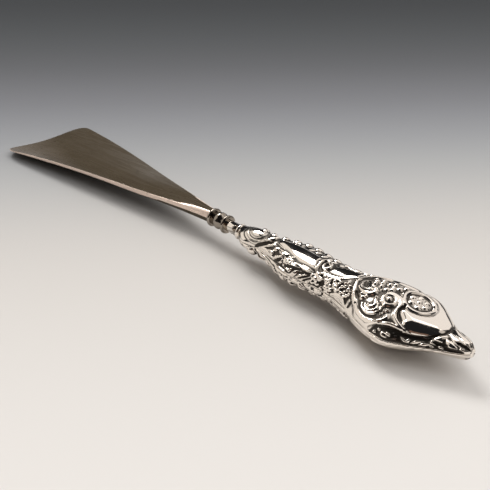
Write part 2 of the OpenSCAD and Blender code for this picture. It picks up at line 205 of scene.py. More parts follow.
# Dark aged steel, paler at one corner with a painted sheen, and polished edges that are also painted brighter
# as highlights
STEEL_COLOUR = (0.077, 0.06, 0.039, 1)
PAINTED_SHEEN_COLOUR = (0.175, 0.147, 0.12, 1)
PAINTED_SHEEN_TOWARDS, PAINTED_SHEEN_FROM, PAINTED_SHEEN_TO = (-0.35, -0.94, 0), 0.031, 0.05
EDGE_HIGHLIGHT_COLOUR = (0.96, 0.79, 0.68, 1)
EDGE_HIGHLIGHT_CLOUD_COLOUR = (0.75, 0.6, 0.5, 1)
TARNISH_COLOUR = (0.045, 0.033, 0.021, 1)
CLOUD_SHARE = 0.6


def finish_tree(name):
    material = bpy.data.materials.new(name)
    material.use_nodes = True
    tree = material.node_tree
    return material, tree, tree.nodes["Principled BSDF"]


def noise(tree, scale, detail, stretch=(1, 1, 1)):
    """Grey noise over the piece's own place, with its grain stretched along an axis."""
    place = tree.nodes.new("ShaderNodeTexCoord")
    mapping = tree.nodes.new("ShaderNodeMapping")
    mapping.inputs["Scale"].default_value = stretch
    tree.links.new(place.outputs["Object"], mapping.inputs["Vector"])
    grain = tree.nodes.new("ShaderNodeTexNoise")
    grain.inputs["Scale"].default_value = scale
    grain.inputs["Detail"].default_value = detail
    tree.links.new(mapping.outputs["Vector"], grain.inputs["Vector"])
    return grain.outputs["Fac"]


def spread(tree, value, low, high, to_low=0, to_high=1):
    """A value between low and high carried over to another range."""
    node = tree.nodes.new("ShaderNodeMapRange")
    for socket, number in zip(node.inputs[1:5], (low, high, to_low, to_high)):
        socket.default_value = number
    tree.links.new(value, node.inputs[0])
    return node.outputs[0]


def blend_colour(tree, share, one, other):
    node = tree.nodes.new("ShaderNodeMix")
    node.data_type = "RGBA"
    tree.links.new(share, node.inputs[0])
    for socket, colour in ((node.inputs[6], one), (node.inputs[7], other)):
        if isinstance(colour, tuple):
            socket.default_value = colour
        else:
            tree.links.new(colour, socket)
    return node.outputs[2]


def roughen(tree, shader, value, strength, distance):
    bump = tree.nodes.new("ShaderNodeBump")
    bump.inputs["Strength"].default_value = strength
    bump.inputs["Distance"].default_value = distance
    tree.links.new(value, bump.inputs["Height"])
    tree.links.new(bump.outputs["Normal"], shader.inputs["Normal"])


def toward(tree, direction, start, end):
    """Share from 0 to 1 between two distances along a direction from the origin."""
    place = tree.nodes.new("ShaderNodeTexCoord")
    reach = tree.nodes.new("ShaderNodeVectorMath")
    reach.operation = "DOT_PRODUCT"
    reach.inputs[1].default_value = direction
    tree.links.new(place.outputs["Object"], reach.inputs[0])
    return spread(tree, reach.outputs["Value"], start, end)


def polished_steel(name, colour, tarnish, rough, metallic, gloss, painted_sheen=None):
    """Steel clouded and spotted with tarnish, with fine polishing lines along it, and where asked a painted
    sheen that pales it towards one side.
    """
    material, tree, shader = finish_tree(name)
    shader.inputs["Metallic"].default_value = metallic
    shader.inputs["Specular IOR Level"].default_value = gloss
    clouds = spread(tree, noise(tree, scale=60, detail=5), low=0.4, high=0.75, to_high=0.5)
    spots = spread(tree, noise(tree, scale=420, detail=3), low=0.66, high=0.74)
    clean_with_sheen = colour
    # Painted sheen: a paler colour blended in along one direction
    if painted_sheen:
        clean_with_sheen = blend_colour(tree, toward(tree, PAINTED_SHEEN_TOWARDS, PAINTED_SHEEN_FROM, PAINTED_SHEEN_TO), colour, painted_sheen)
    cloudy = tuple(mix(np.array(colour), np.array(tarnish), CLOUD_SHARE))
    stained = blend_colour(tree, clouds, clean_with_sheen, cloudy)
    tree.links.new(blend_colour(tree, spots, stained, tarnish), shader.inputs["Base Color"])
    lines = noise(tree, scale=700, detail=6, stretch=(0.05, 1, 1))
    roughness = spread(tree, lines, low=0.3, high=0.7, to_low=rough[0], to_high=rough[1])
    tree.links.new(roughness, shader.inputs["Roughness"])
    roughen(tree, shader, lines, strength=0.05, distance=0.0001)
    return material


blade.data.materials.append(polished_steel("blade_steel", STEEL_COLOUR, TARNISH_COLOUR, rough=(0.22, 0.32),
                                           metallic=0.06, gloss=0.25, painted_sheen=PAINTED_SHEEN_COLOUR))
# Edge material: polished steel whose bright colour is partly a painted highlight
blade.data.materials.append(polished_steel("blade_edge_highlight", EDGE_HIGHLIGHT_COLOUR, EDGE_HIGHLIGHT_CLOUD_COLOUR, rough=(0.2, 0.3),
                                           metallic=0.35, gloss=0.02))

# Painted highlight on the polished edges: the walls, the faces beside them that slope outwards, and the upper
# bevels of the neck take the bright edge material, chosen by which way each face slopes
BRIGHT_SLOPE, BEVEL_SLOPE = 0.4, 0.22
BEVEL_FADE_START, BEVEL_FADE_END = 20, 44
for k in range(wall_end):
    face = blade.data.polygons[k]
    from_neck = neck_x - face.center.x / MM
    outward = max(-face.normal.x, math.copysign(face.normal.y, face.normal.y * face.center.y))
    at_neck = 1 - ease(from_neck, BEVEL_FADE_START, BEVEL_FADE_END)
    limit = mix(BRIGHT_SLOPE, BEVEL_SLOPE if face.normal.z > 0 else 1, at_neck)
    face.material_index = int(k >= wall_start or outward > limit)
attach(blade, "root")
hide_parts("horn_blade")

# Bolster: a steel collar turned in one piece, a ball between two half-round rings with coves
# beside it. It is slid over the tang and driven up to the shoulder of the neck.
RING_D, RING_W = 6.4, 1.3
BALL_D, BALL_LEN = 5.9, 4.0
COVE_D = 4.6
BORE_D = 2.8
LATHE_SIDES = 144
ARC_STEPS = 18
BOLSTER_COLOUR = (0.36, 0.32, 0.275, 1)


def half_round(x0, d, w, floor_r):
    """Profile of a half-round ring from x0 on, down to the radius that it stands on."""
    a = np.linspace(np.pi, 0, ARC_STEPS)
    arc = np.stack([x0 + w / 2 + w / 2 * np.cos(a), (d - w) / 2 + w / 2 * np.sin(a)], 1)
    return [tuple(p) for p in arc if p[1] >= floor_r]


ball_x = (bolster_low[0] + bolster_high[0] - BALL_LEN) / 2
bolster_profile = half_round(bolster_low[0], RING_D, RING_W, COVE_D / 2)
bolster_profile += [(bolster_low[0] + RING_W, COVE_D / 2)]
bolster_profile += half_round(ball_x, BALL_D, BALL_LEN, COVE_D / 2)
bolster_profile += [(bolster_high[0] - RING_W, COVE_D / 2)]
bolster_profile += half_round(bolster_high[0] - RING_W, RING_D, RING_W, COVE_D / 2)
bolster_profile += [(bolster_high[0], BORE_D / 2), (bolster_low[0], BORE_D / 2)]
bolster = add_piece("bolster_collar", *turned(bolster_profile, LATHE_SIDES), SHARP_EDGE)
bolster.data.materials.append(polished_steel("bolster_steel", BOLSTER_COLOUR, TARNISH_COLOUR,
                                             rough=(0.1, 0.18), metallic=1.0, gloss=0.02))
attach(bolster, "root")
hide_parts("bolster")

# Ferrule: a short drawn tube of silver with a raised bead, soldered to the mouth of the shells.
# The tang passes through it, and its spigot fills the mouth.
FERRULE_D, FERRULE_BEAD_END_D = 4.0, 4.4
BEAD_D, BEAD_W = 5.4, 1.4
SPIGOT_D, SPIGOT_LEN = 3.6, 5.0
SILVER_COLOUR = (0.94, 0.875, 0.80, 1)
PATINA_AND_SHADE_COLOUR = (0.02, 0.015, 0.011, 1)
PATINA_ROUGHNESS = 0.42


def old_silver(name, recessed):
    """Rubbed silver, bright on what stands proud and dark with old polish in the hollows, and with painted
    shade as well along the cuts.
    """
    material, tree, shader = finish_tree(name)
    shader.inputs["Metallic"].default_value = 1
    rough = spread(tree, noise(tree, scale=160, detail=4), low=0.35, high=0.7, to_low=0.07, to_high=0.14)
    if recessed:
        depth = tree.nodes.new("ShaderNodeAttribute")
        depth.attribute_name = "recess"
        patina_and_shade = spread(tree, depth.outputs["Fac"], low=0.05, high=0.24, to_high=0.95)
        tree.links.new(blend_colour(tree, patina_and_shade, SILVER_COLOUR, PATINA_AND_SHADE_COLOUR), shader.inputs["Base Color"])
        patina_and_shade_roughness = tree.nodes.new("ShaderNodeMix")
        tree.links.new(patina_and_shade, patina_and_shade_roughness.inputs[0])
        tree.links.new(rough, patina_and_shade_roughness.inputs[2])
        patina_and_shade_roughness.inputs[3].default_value = PATINA_ROUGHNESS
        rough = patina_and_shade_roughness.outputs[0]
    else:
        shader.inputs["Base Color"].default_value = SILVER_COLOUR
    tree.links.new(rough, shader.inputs["Roughness"])
    roughen(tree, shader, noise(tree, scale=900, detail=4), strength=0.04, distance=0.0001)
    return material


bead_x = ferrule_high[0] - SPIGOT_LEN - BEAD_W
ferrule_profile = [(ferrule_low[0], BORE_D / 2), (ferrule_low[0], FERRULE_D / 2)]
ferrule_profile += [(bead_x, FERRULE_BEAD_END_D / 2)]
ferrule_profile += half_round(bead_x, BEAD_D, BEAD_W, FERRULE_BEAD_END_D / 2)
ferrule_profile += [(bead_x + BEAD_W, SPIGOT_D / 2), (ferrule_high[0], SPIGOT_D / 2)]
ferrule_profile += [(ferrule_high[0], BORE_D / 2)]
ferrule = add_piece("ferrule_tube", *turned(ferrule_profile, LATHE_SIDES), SHARP_EDGE)
ferrule.data.materials.append(old_silver("ferrule_silver", False))
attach(ferrule, "root")
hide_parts("neck_ferrule")

# Filling: pitch and plaster poured hot into the handle round the tang. It is closed in by the
# shells and holds them to the tang once it is cold.
PITCH_COLOUR = (0.07, 0.036, 0.018, 1)
PLASTER_COLOUR = (0.15, 0.095, 0.06, 1)
pitch, pitch_tree, pitch_shader = finish_tree("pitch")
grit = noise(pitch_tree, scale=350, detail=5)
specks = spread(pitch_tree, grit, low=0.52, high=0.68)
speckled = blend_colour(pitch_tree, specks, PITCH_COLOUR, PLASTER_COLOUR)
pitch_tree.links.new(speckled, pitch_shader.inputs["Base Color"])
pitch_rough = spread(pitch_tree, grit, low=0.3, high=0.7, to_low=0.45, to_high=0.7)
pitch_tree.links.new(pitch_rough, pitch_shader.inputs["Roughness"])
roughen(pitch_tree, pitch_shader, grit, strength=0.2, distance=0.0002)
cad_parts["pitch_core"].data.materials.clear()
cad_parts["pitch_core"].data.materials.append(pitch)

# Shells: two halves of thin silver sheet struck in a die with scrolls, flowers and a plain
# reserve, trimmed along the sides and soldered edge to edge. Places on a half are given as a
# station from the mouth in millimetres and an angle: 0 and 180 are the seams, 90 is the crest.
FACE_ROWS, FACE_COLS = 451, 197
INSIDE_COLS = 15
SHELL_WALL = 0.55
TIP_METAL = 2.2
FINIAL_LIFT = 1.2
CREST = 90
BULB_START, BULB_STATION = 50, 69
FACE_WIDTHS = [(0, 4.82), (4.5, 9.2), (11, 7.4), (28, 15.4), (43, 13.2),
               (69, 25.4), (83, 12), (90.3, 4.8), (91.9, 2)]
FACE_THICKNESSES = [(0, 4.82), (4.5, 6.8), (11, 7.4), (28, 10.4), (43, 10.8),
                    (61, 15), (83, 5.6), (90.3, 4.6), (91.9, 1.8)]
GROUND = -0.22
BELOW_ALL = -9
shell_low, shell_high = box_mm("front_shell")
shell_len = shell_high[0] - shell_low[0]


def between(x, start, full, fall, end):
    """1 from full to fall, easing to 0 at start and at end."""
    return ease(x, start, full) * (1 - ease(x, fall, end))


def curve(knots, x):
    """Smooth curve through knots that never overshoots one."""
    kx, ky = np.array(knots, float).T
    run = np.diff(kx)
    pitch = np.diff(ky) / run
    slope = np.concatenate([pitch[:1], np.zeros(len(pitch) - 1), pitch[-1:]])
    for k in range(1, len(pitch)):
        if pitch[k - 1] * pitch[k] > 0:
            slope[k] = 2 * pitch[k - 1] * pitch[k] / (pitch[k - 1] + pitch[k])
    i = np.clip(np.searchsorted(kx, x) - 1, 0, len(run) - 1)
    t = (x - kx[i]) / run[i]
    straight = mix(ky[i], ky[i + 1], t * t * (3 - 2 * t))
    return straight + run[i] * (t * (1 - t) ** 2 * slope[i] + t * t * (t - 1) * slope[i + 1])


station = np.linspace(0, shell_len, FACE_ROWS)
angle = np.linspace(0, 180, FACE_COLS)
turn = np.radians(angle)
half_w = curve(FACE_WIDTHS, station)[:, None] / 2
half_t = curve(FACE_THICKNESSES, station)[:, None] / 2
lift = FINIAL_LIFT * (np.maximum(0, station - BULB_STATION) / (shell_len - BULB_STATION)) ** 2

# The face laid flat: along runs with the handle, across with the girth from the crest
pace = np.hypot(half_w * np.sin(turn), half_t * np.cos(turn)) * (turn[1] - turn[0])
across = np.cumsum(pace, 1) - pace / 2
across -= across[:, FACE_COLS // 2][:, None]
along = np.repeat(station[:, None], FACE_COLS, 1)
relief = np.zeros_like(across)


def spot(h, deg):
    """A station and an angle as a place on the face laid flat."""
    row = int(round(np.clip(h / shell_len, 0, 1) * (FACE_ROWS - 1)))
    return np.array([h, np.interp(deg, angle, across[row])])


def flowing(points, closed=False, steps=8):
    """A smooth line through places on the face."""
    p = np.array([spot(*q) for q in points])
    if closed:
        p = np.vstack([p[-1:], p, p[:2]])
    else:
        p = np.vstack([2 * p[:1] - p[1:2], p, 2 * p[-1:] - p[-2:-1]])
    t = np.linspace(0, 1, steps, endpoint=False)[:, None]
    bends = []
    for a, b, c, d in zip(p, p[1:], p[2:], p[3:]):
        bend = 2 * b + (c - a) * t + (2 * a - 5 * b + 4 * c - d) * t ** 2 + (3 * b - a - 3 * c + d) * t ** 3
        bends.append(0.5 * bend)
    return np.vstack(bends + [p[-2:-1]])


def near_line(line, reach):
    """The face's points round a line, with their share of its length and distance from it."""
    low, high = line.min(0) - reach, line.max(0) + reach
    patch = (along > low[0]) & (along < high[0]) & (across > low[1]) & (across < high[1])
    x, y = along[patch], across[patch]
    lengths = np.hypot(*np.diff(line, axis=0).T)
    done = np.concatenate([[0], np.cumsum(lengths)])
    gap, share = np.full(x.shape, np.inf), np.zeros(x.shape)
    for k in np.flatnonzero(lengths):
        step = line[k + 1] - line[k]
        dx, dy = x - line[k][0], y - line[k][1]
        t = np.clip((dx * step[0] + dy * step[1]) / (step @ step), 0, 1)
        d = np.hypot(dx - t * step[0], dy - t * step[1])
        closer = d < gap
        gap[closer] = d[closer]
        share[closer] = ((done[k] + t * lengths[k]) / done[-1])[closer]
    return patch, share, gap


def keep_higher(patch, height):
    relief[patch] = np.maximum(relief[patch], height)


def round_back(q):
    return np.sqrt(np.clip(1 - q ** 2, 0, 1))


def stroke(points, half, high, swell=(1, 1), vein=0.0, vein_half=0.3, thin_high=0.4):
    """A raised round-backed line that swells along its length, with a sunk vein where it is a leaf."""
    patch, share, gap = near_line(flowing(points), half)
    width = np.interp(share, np.linspace(0, 1, len(swell)), swell)
    q = gap / (half * width)
    body = round_back(q) * (1 - vein * np.exp(-(q / vein_half) ** 2))
    top = high * mix(thin_high, 1, width)
    keep_higher(patch, np.where(q < 1, GROUND + (top - GROUND) * body, BELOW_ALL))


def local(h, deg, turned_by=0):
    """Distances along and across from a place, in axes turned by some degrees."""
    c = spot(h, deg)
    x, y = along - c[0], across - c[1]
    a = math.radians(turned_by)
    return x * math.cos(a) + y * math.sin(a), y * math.cos(a) - x * math.sin(a)


def raise_within(q, high, body):
    """Metal raised out of the ground, shaped by its body, wherever q is under 1."""
    keep_higher(q < 1, (GROUND + (high - GROUND) * body)[q < 1])


def dome(h, deg, rx, ry, high, turned_by=0):
    x, y = local(h, deg, turned_by)
    q = np.hypot(x / rx, y / ry)
    raise_within(q, high, round_back(q))


def off_ring(h, deg, rx, ry, half):
    """Distance from an oval ring, in half widths of its line."""
    x, y = local(h, deg)
    return np.abs(np.hypot(x / rx, y / ry) - 1) * min(rx, ry) / half


def hoop(h, deg, rx, ry, half, high):
    q = off_ring(h, deg, rx, ry, half)
    raise_within(q, high, round_back(q))


def flower(h, deg, r, petals, high, turned_by, notch=0.68, hollow=0.55, lip=6, heart=0.32):
    """Cupped petals round a small dome."""
    x, y = local(h, deg, turned_by)
    waves = np.abs(np.cos(np.arctan2(y, x) * petals / 2))
    q = np.hypot(x, y) / (r * mix(notch, 1, waves))
    cup = mix(hollow, 1, q) * np.sqrt(np.clip(1 - q ** lip, 0, 1)) * mix(hollow, 1, np.sqrt(waves))
    raise_within(q, high, cup)
    dome(h, deg, heart * r, heart * r, high)


def closed_field(points):
    """The face's points round a closed line, with the distance from it of those inside."""
    line = flowing(points, closed=True)
    patch, _, gap = near_line(line, 0)
    x, y = along[patch], across[patch]
    inside = np.zeros(x.shape, bool)
    for (x0, y0), (x1, y1) in zip(line, np.roll(line, -1, 0)):
        if y0 != y1:
            inside ^= ((y0 > y) != (y1 > y)) & (x < (x1 - x0) * (y - y0) / (y1 - y0) + x0)
    return patch, np.where(inside, gap, 0)


def cushion(points, high, shoulder):
    """A smooth raised field inside a closed line."""
    patch, gap = closed_field(points)
    body = round_back(1 - np.clip(gap / shoulder, 0, 1))
    top = np.broadcast_to(high, relief.shape)[patch]
    keep_higher(patch, np.where(gap > 0, GROUND + (top - GROUND) * body, BELOW_ALL))


def plateau(points, high, shoulder):
    """A flat raised field inside a closed line, with a chamfer round it."""
    patch, gap = closed_field(points)
    keep_higher(patch, np.where(gap > 0, high * np.clip(gap / shoulder, 0, 1), BELOW_ALL))


def sink(points, deep, shoulder):
    """A field inside a closed line, pressed in."""
    patch, gap = closed_field(points)
    relief[patch] -= deep * ease(gap, 0, shoulder)


def mirrored(points):
    """The same places on the other side of the crest."""
    return [(h, 2 * CREST - deg) for h, deg in points]


# Grounds pressed in under the ornament, with fine matting
NEAR_FLANK = [(10.5, 3), (16, 2), (24, 2), (36, 1), (52, 1), (53.4, 12), (53.6, 34), (52, 50), (48, 56),
              (40.5, 52), (37.5, 46), (30, 48), (24.4, 60), (19.5, 70), (16.6, 60), (13.2, 34)]
FAR_FLANK = [(10.5, 177), (24, 178), (36, 178), (52, 178), (53, 112), (45, 105), (38, 102), (30, 102),
             (22, 107), (17.5, 109), (14, 146)]
SCROLL_FIELD = [(55.6, 42), (53.6, 56), (53.0, 72), (53.4, 88), (54.6, 102), (57.0, 112), (62, 113),
                (66, 106), (69.2, 84), (69.2, 62), (68.6, 53), (66.6, 40), (62.2, 26), (59.4, 29), (57.6, 36)]
LOWER_RECESS = [(65.2, 2), (66.2, 14), (67.8, 28), (69.4, 33), (71.6, 38), (74.4, 41), (78.2, 40),
                (81, 47), (83, 52), (86, 40), (87.4, 24), (88.6, 4), (80, 1), (72, 1)]
SUNK_SHOULDER = 0.6
MATTING_PITCH, MATTING_HIGH, MATTED_BELOW = 0.95, 0.07, 0.6 * GROUND
for field, deep in ((NEAR_FLANK, 0.22), (FAR_FLANK, 0.22), (SCROLL_FIELD, 0.06), (LOWER_RECESS, 0.32)):
    sink(field, deep, SUNK_SHOULDER)
dots = np.cos(along * 2 * np.pi / MATTING_PITCH) * np.cos(across * 2 * np.pi / MATTING_PITCH)
relief += MATTING_HIGH * np.maximum(0, dots) * (relief < MATTED_BELOW)

# Collar: a plain oval boss on a wider one, closed by a bold arch
COLLAR_PLACE = (8.4, 78)
ARCH = [(10.9, 30), (11.9, 42), (13.3, 58), (14.4, 73), (15.1, 90), (14.6, 107), (13.4, 122),
        (12.0, 138), (10.8, 152)]
dome(*COLLAR_PLACE, rx=5.7, ry=4.5, high=0.55)
dome(8.4, 80, rx=4.1, ry=2.9, high=1.0)
stroke(ARCH, half=1.3, high=0.8, swell=(0.4, 0.8, 1, 1, 1, 0.8, 0.4))

# Panel: the plain reserve with its chamfered border
RESERVE = [(17.4, 82), (18.6, 75), (20.9, 69.5), (24.8, 61), (27.8, 55), (30.3, 52.5), (32.6, 50),
           (35.3, 48.5), (37, 49), (37.2, 56), (36.6, 68), (36.0, 82), (36.1, 93), (34, 98), (30, 101),
           (25, 104), (20.5, 105), (17.6, 101), (16.9, 91)]
plateau(RESERVE, high=0.45, shoulder=1.25)

# Flank sprays: leaves, scrolls, flowers and berries from the arch to the bulb, on both flanks
LEAVES = [
    ([(11.4, 9), (13.7, 13), (16.8, 14), (20.2, 15)], 1.15, 0.5),
    ([(11.0, 12), (12.9, 27), (15.0, 43), (17.4, 58)], 0.62, 0.55),
    ([(18.4, 42), (19.5, 50), (19.9, 60)], 0.75, 0.65),
    ([(20.4, 57), (22.3, 53), (24.0, 53.5), (25.6, 57)], 1.0, 0.6),
    ([(25.9, 20), (25.8, 31), (25.4, 41), (24.4, 47)], 0.6, 0.5),
    ([(23.8, 6), (26.4, 9), (28.6, 16), (29.4, 25)], 0.9, 0.5),
    ([(28.4, 40), (30.0, 38), (31.8, 39)], 1.05, 0.75),
    ([(31.2, 45), (33.8, 43), (37.0, 42)], 0.85, 0.65),
    ([(29.6, 5), (30.9, 15), (31.9, 27)], 0.75, 0.55),
    ([(32.0, 8), (33.4, 19), (35.4, 31)], 0.55, 0.55),
    ([(33.6, 4), (35.0, 14), (36.6, 27)], 0.5, 0.55),
    ([(35.4, 3), (36.2, 9), (37.2, 18)], 0.5, 0.5),
    ([(40.8, 3), (41.5, 9), (41.6, 15)], 0.6, 0.5),
    ([(45.6, 7), (47.8, 13), (50.4, 13), (53.2, 6)], 1.35, 0.5),
    ([(46.4, 22), (47.6, 27), (48.2, 24)], 0.6, 0.6),
]
CURLS = [
    ([(16.0, 28), (17.5, 33), (18.8, 31), (18.9, 26), (18.0, 24)], 0.5, 0.6),
    ([(20.5, 16), (20.9, 25), (22.4, 34), (23.8, 42), (23.4, 50)], 0.75, 0.8),
    ([(23.6, 21), (24.6, 27), (24.6, 34)], 0.45, 0.55),
    ([(40.9, 51), (43.4, 51.5), (46.0, 55), (47.4, 52)], 0.45, 0.55),
]
FLOWERS = [
    (27.2, 44, 1.75, 6, 0.72, 10),
    (38.7, 29, 2.3, 5, 0.75, 25),
    (43.9, 17, 1.9, 6, 0.68, 0),
    (42.9, 38, 1.5, 5, 0.72, 40),
    (46.2, 35, 1.4, 5, 0.68, 15),
]
BERRIES = [(48.3, 35, 0.75), (48.7, 43, 0.7), (49.8, 48, 0.65), (45.2, 46, 0.7), (47.0, 44, 0.65),
           (47.4, 51, 0.55), (50.0, 59, 0.6), (51.2, 53, 0.75), (51.4, 44, 0.75), (52.6, 42, 0.55),
           (50.6, 34, 0.75), (49.3, 28, 0.7), (49.0, 55, 0.6), (51.9, 30, 0.7), (52.8, 36, 0.55),
           (50.9, 24, 0.6), (41.6, 48, 0.55)]
LEAF_SWELL, LEAF_VEIN = (0.35, 1, 1, 0.25), 0.3
CURL_SWELL = (0.6, 1, 1, 0.9)
BERRY_HIGH = 0.72
for points, half, high in LEAVES:
    for line in (points, mirrored(points)):
        stroke(line, half, high, LEAF_SWELL, LEAF_VEIN)
for points, half, high in CURLS:
    for line in (points, mirrored(points)):
        stroke(line, half, high, CURL_SWELL)
for h, deg, r, petals, high, twist in FLOWERS:
    flower(h, deg, r, petals, high, twist)
    flower(h, 2 * CREST - deg, r, petals, high, -twist)
for h, deg, r in BERRIES:
    for place in (deg, 2 * CREST - deg):
        dome(h, place, r, r, BERRY_HIGH)
hoop(40.1, 42, rx=0.95, ry=0.95, half=0.4, high=0.62)

# Beyond the crest low knobs fill the ground, the sprays flatten, and two rows of lobes follow the seam
KNOBS = [(21.4, 113, 1.04), (24.2, 116, 1.17), (27.6, 117, 2.08), (30.8, 118, 1.17), (33.6, 116, 1.56),
         (36.2, 112, 1.17), (38.6, 110, 1.04), (41, 113, 1.3)]
KNOB_HIGH = 0.35
FLATTENING, FLAT_ANGLES = 0.5, (96, 110, 140, 155)
LOBES_FROM, LOBES_TO, LOBE_PITCH = 6.8, 47, 4.2
SEAM_ROW_ANGLE, UPPER_ROW_ANGLE, UPPER_ROW_SHIFT = 169, 139, 1.2
UPPER_ROW_HIGH, UPPER_ROW_END_HIGH, UPPER_ROW_FALL = 1.05, 0.7, (22, 34)
for h, deg, r in KNOBS:
    dome(h, deg, r, r, KNOB_HIGH)
relief -= FLATTENING * np.maximum(relief, 0) * between(angle, *FLAT_ANGLES)
for h in np.arange(LOBES_FROM, LOBES_TO, LOBE_PITCH):
    upper_high = mix(UPPER_ROW_HIGH, UPPER_ROW_END_HIGH, ease(h, *UPPER_ROW_FALL))
    dome(h, SEAM_ROW_ANGLE, rx=1.9, ry=1.3, high=0.45)
    dome(h + UPPER_ROW_SHIFT, UPPER_ROW_ANGLE, rx=1.75, ry=1.9, high=upper_high, turned_by=20)

# Waist: the curl at the end of the reserve and the smooth flute that opens from it
FLUTE = [(41.0, 60), (44.5, 61), (46.6, 65), (48.6, 72), (50.4, 81), (51.0, 92), (51.0, 103),
         (48.5, 109), (45.0, 109), (42.8, 103), (41.6, 92), (41.2, 80), (41.0, 70)]
WAIST_SCROLLS = [
    ([(39.6, 54.5), (42.7, 55), (45.5, 60), (47.6, 67), (49.9, 79), (51.2, 88)],
     0.5, 0.4, (0.7, 1, 1, 0.7)),
    ([(37.6, 50), (37.0, 58), (36.7, 68), (36.3, 80), (36.7, 90), (37.9, 94), (39.3, 89), (40.3, 79),
      (40.2, 70), (39.6, 66)],
     0.72, 0.85, (0.6, 1, 1, 0.9)),
    ([(38.4, 86), (37.9, 78), (38.5, 67), (40.0, 60.5), (42.2, 58.5)],
     0.5, 0.7, (0.9, 1, 1, 0.5)),
]
plateau(FLUTE, high=0.3, shoulder=0.9)
for points, half, high, swell in WAIST_SCROLLS:
    stroke(points, half, high, swell)

# Bulb: the big C-scroll, whose ribbon widens into a plain band and ends in a lip
BAND = [(54.5, 34), (55.8, 26), (57.2, 15), (58, 3), (61, 1.5), (64.4, 2), (65.0, 12), (66.6, 24),
        (68.2, 35), (69.3, 44), (69.0, 51), (68.2, 52.5), (67.5, 46), (67.0, 39), (65.3, 31), (62.2, 24.5),
        (59.6, 26.5), (57.9, 34), (56.2, 41)]
FAR_BAND = [(57.4, 124), (62, 119), (65.4, 124), (66.4, 138), (66, 170), (57, 172), (55, 150)]
BULB_SCROLLS = [
    ([(57.8, 124), (55.8, 113), (53.7, 102), (52.3, 89), (51.7, 77), (52.3, 64), (53.6, 50), (54.9, 38),
      (56.4, 30)],
     0.8, 0.75, (0.5, 1, 1, 0.9)),
    ([(64.9, 18), (66.6, 30), (68.1, 40), (68.6, 49)],
     0.6, 0.68, (0.4, 1, 1, 0.8)),
    ([(67.4, 29), (68.8, 36), (70.2, 40.5), (71.9, 42.5), (73.8, 41.5)],
     0.5, 0.55, (0.4, 1, 1, 0.6)),
]
cushion(BAND, high=0.48, shoulder=1.5)
cushion(FAR_BAND, high=0.4, shoulder=2.0)
for points, half, high, swell in BULB_SCROLLS:
    stroke(points, half, high, swell)

# A comma leaf and nested crescents inside the C-scroll, with beads that grow towards the crest
CRESCENTS = [
    ([(53.9, 73), (54.2, 65), (55.8, 60), (58.0, 60), (59.6, 64.5), (59.9, 70), (58.8, 74)],
     1.0, 0.8, (0.4, 0.7, 1, 1, 0.95)),
    ([(58.8, 40), (59.8, 33.5), (62.2, 31.5), (64.4, 38), (65.4, 47), (64.9, 54)],
     0.5, 0.6, (0.4, 1, 1, 0.6)),
    ([(59.9, 43), (60.8, 37.5), (62.4, 36.5), (63.8, 42), (64.3, 48.5), (63.6, 55)],
     0.5, 0.7, (0.4, 1, 1, 0.6)),
    ([(60.6, 47), (61.7, 42.5), (62.8, 46), (63.1, 51.5), (62.2, 57)],
     0.8, 0.8, (0.35, 1, 1, 0.8)),
]
BULB_BEADS = [(57.7, 48, 0.85), (58.7, 53, 0.6), (56.6, 52, 0.55), (61.6, 62, 0.55), (56.5, 94, 0.8),
              (58.6, 94, 0.7), (60.5, 100, 0.75), (61.7, 85, 0.85), (62.9, 90, 0.65), (63.9, 101, 0.85),
              (64.6, 112, 0.8), (57.0, 86, 0.65), (59.4, 86, 0.65), (60.9, 79, 0.55), (62.4, 96, 0.6),
              (66.0, 96, 0.6), (55.6, 100, 0.6), (58.0, 103, 0.65), (61.6, 107, 0.65), (66.6, 52, 0.55),
              (66.2, 46, 0.5), (67.2, 57, 0.55), (65.4, 60, 0.6)]
BEAD_GROWTH, BEADS_GROW, BULB_BEAD_HIGH = 1.35, (75, 90), 0.66
for points, half, high, swell in CRESCENTS:
    stroke(points, half, high, swell)
for h, deg, r in BULB_BEADS:
    grown = r * mix(1, BEAD_GROWTH, ease(deg, *BEADS_GROW))
    dome(h, deg, grown, grown, BULB_BEAD_HIGH)

# The volute with its bead, and the S-scroll that leaves it for the comma boss
S_SCROLL = [(62.8, 75), (63.4, 81.5), (65.3, 84.5), (67.2, 83), (68.5, 77.5), (68.9, 70), (69.2, 62),
            (70.0, 56), (71.3, 51), (73.3, 45), (75.0, 42)]
hoop(65.1, 72, rx=2.0, ry=1.95, half=0.7, high=0.6)
dome(64.9, 73, rx=1.05, ry=1.05, high=0.7)
stroke(S_SCROLL, half=0.95, high=0.78, swell=(0.5, 0.85, 1, 1, 0.8, 0.7, 0.75, 0.75, 0.5))

# The smooth comma boss that wraps the oval rosette
BOSS = [(69.9, 66), (69.8, 72), (70.4, 77), (72.4, 79), (74.6, 86), (75.6, 98), (75.2, 112), (73.8, 126),
        (71.6, 138), (68.5, 146), (66.4, 150), (66.2, 172), (70, 174), (75, 172), (79, 165), (81.2, 146),
        (82.4, 124), (83.0, 104), (83.2, 82), (82.7, 66), (81.4, 55), (80.2, 48), (78, 42), (76.4, 40),
        (74.5, 43.5), (73, 49), (72.2, 56), (71, 61.5)]
BOSS_HIGH, BOSS_FAR_HIGH, BOSS_FALL = 1.5, 0.85, (70, 120)
ROSETTE_PLACE = (70.8, 103)
PETALS, PETAL_R, PETAL_HIGH = 6, 1.2, 0.72
PETAL_RING_MM, PETAL_RING_DEG = 2.3, 11
cushion(BOSS, high=mix(BOSS_HIGH, BOSS_FAR_HIGH, ease(angle, *BOSS_FALL)), shoulder=3.4)
dome(*ROSETTE_PLACE, rx=4.3, ry=4.5, high=0.38)
hoop(*ROSETTE_PLACE, rx=4.5, ry=4.75, half=0.85, high=0.78)
